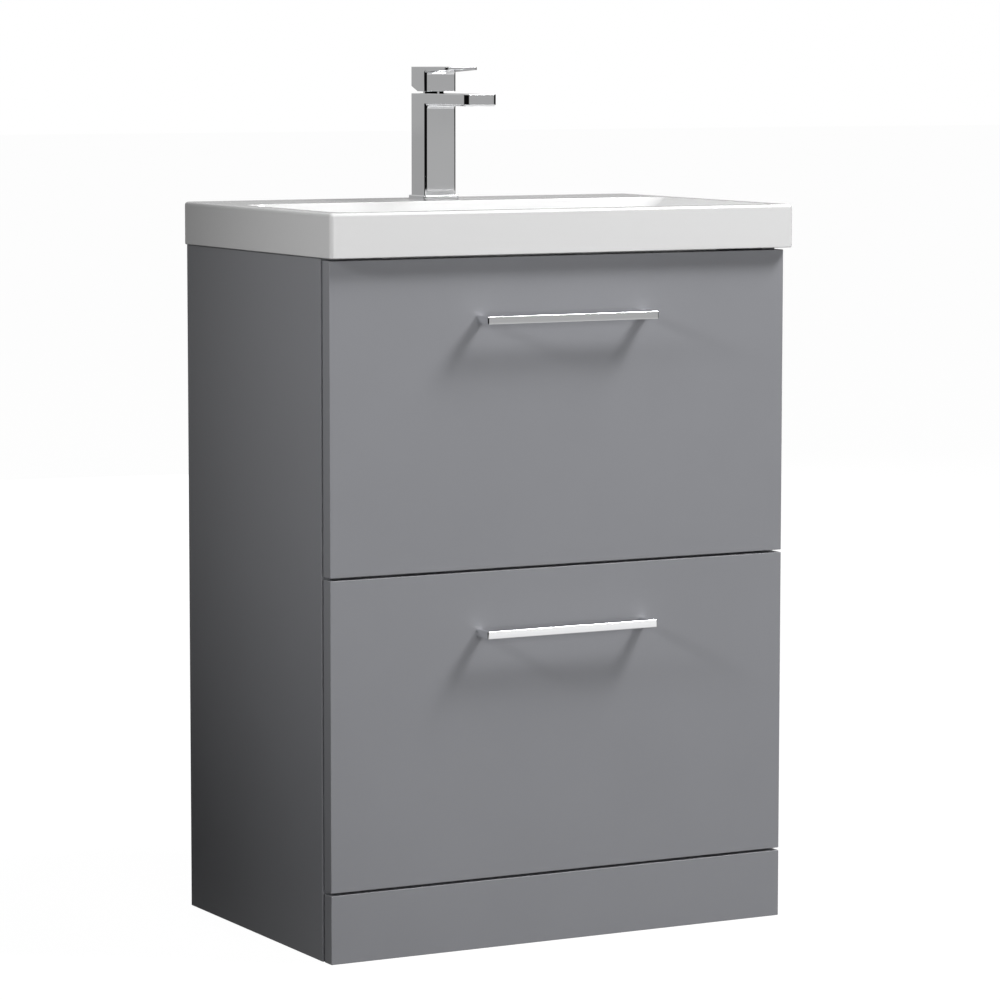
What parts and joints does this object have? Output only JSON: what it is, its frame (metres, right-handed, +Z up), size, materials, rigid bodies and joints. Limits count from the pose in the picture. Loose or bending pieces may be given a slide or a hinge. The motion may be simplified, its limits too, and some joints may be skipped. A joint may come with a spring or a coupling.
{
  "type": "bathroom vanity cabinet",
  "caption": "Floor-standing vanity cabinet: grey fronts that slide out as drawers on runners, a ceramic basin that covers the top, and a square single-lever mixer tap.",
  "frame": {"origin": "on the floor, at the centre of the whole object's footprint with the handles included", "axes": "+Z up, +X along the width, to the right for someone who faces the drawers, +Y towards the wall; the drawers open along -Y"},
  "size_m": [0.608, 0.414, 1.015],
  "materials": {
    "lacquer": "satin cool grey lacquer over board",
    "box_board": "matt light grey faced board",
    "zinc_steel": "bright zinc plate",
    "glaze": "gloss white glaze",
    "chrome": "polished chrome plate",
    "brass": "turned",
    "rubber": "matt black",
    "white_plastic": "moulded"
  },
  "bodies": {
    "cabinet": {"left_side_panel": "lacquer", "right_side_panel": "lacquer", "base_panel": "lacquer", "mid_front_rail": "lacquer", "top_back_rail": "lacquer", "lower_back_rail": "lacquer", "plinth_panel": "lacquer", "plinth_blocks": "lacquer", "cam_locks": "zinc_steel", "cam_bolts": "zinc_steel", "wall_brackets": "zinc_steel", "panel_screws": "zinc_steel", "front_bumpers": "white_plastic", "upper_left_cabinet_rail": "zinc_steel", "upper_right_cabinet_rail": "zinc_steel", "lower_left_cabinet_rail": "zinc_steel", "lower_right_cabinet_rail": "zinc_steel", "basin": "glaze", "overflow_ring": "chrome", "waste_body": "chrome", "waste_washer": "rubber", "waste_nut": "chrome", "tap_base_plate": "chrome", "tap_body": "chrome", "tap_shank": "brass", "tap_aerator": "chrome", "mixer_cartridge": "white_plastic", "cartridge_nut": "chrome", "tap_stud": "zinc_steel", "tap_clamp_pad": "rubber", "tap_clamp_plate": "zinc_steel", "tap_stud_nut": "brass"},
    "upper_drawer": {"upper_drawer_front": "lacquer", "upper_handle": "chrome", "upper_handle_screws": "zinc_steel", "upper_box_left_side": "box_board", "upper_box_right_side": "box_board", "upper_box_backs": "box_board", "upper_recess_walls": "box_board", "upper_box_base": "box_board", "upper_left_drawer_rail": "zinc_steel", "upper_right_drawer_rail": "zinc_steel"},
    "lower_drawer": {"lower_drawer_front": "lacquer", "lower_handle": "chrome", "lower_handle_screws": "zinc_steel", "lower_box_left_side": "box_board", "lower_box_right_side": "box_board", "lower_box_back": "box_board", "lower_box_base": "box_board", "lower_left_drawer_rail": "zinc_steel", "lower_right_drawer_rail": "zinc_steel"},
    "upper_runner_middles": {"upper_middle_rails": "zinc_steel"},
    "lower_runner_middles": {"lower_middle_rails": "zinc_steel"},
    "waste_plug": {"waste_plug": "chrome", "plug_seal": "rubber"},
    "tap_swivel": {"cartridge_carrier": "white_plastic", "spindle_pin": "zinc_steel"},
    "tap_lever": {"mixer_lever": "chrome", "cartridge_spindle": "zinc_steel", "lever_grub_screw": "zinc_steel"}
  },
  "joints": [
    {"name": "upper_drawer_slide", "type": "slide", "parent": "cabinet", "child": "upper_drawer", "axis": [0, -1, 0], "range_m": [0, 0.3]},
    {"name": "lower_drawer_slide", "type": "slide", "parent": "cabinet", "child": "lower_drawer", "axis": [0, -1, 0], "range_m": [0, 0.3]},
    {"name": "upper_middle_slide", "type": "slide", "parent": "cabinet", "child": "upper_runner_middles", "axis": [0, -1, 0], "range_m": [0, 0.15]},
    {"name": "lower_middle_slide", "type": "slide", "parent": "cabinet", "child": "lower_runner_middles", "axis": [0, -1, 0], "range_m": [0, 0.15]},
    {"name": "plug_lift", "type": "slide", "parent": "cabinet", "child": "waste_plug", "axis": [0, 0, 1], "range_m": [0, 0.008]},
    {"name": "lever_swivel", "type": "hinge", "parent": "cabinet", "child": "tap_swivel", "pos_m": [0, 0.144, 0.985], "axis": [0, 0, 1], "range_deg": [-45, 45]},
    {"name": "lever_tilt", "type": "hinge", "parent": "tap_swivel", "child": "tap_lever", "pos_m": [0, 0.144, 0.977], "axis": [-1, 0, 0], "range_deg": [0, 22]}
  ],
  "couplings": [
    {"joint": "upper_middle_slide", "follows": "upper_drawer_slide", "ratio": 0.5},
    {"joint": "lower_middle_slide", "follows": "lower_drawer_slide", "ratio": 0.5}
  ]
}
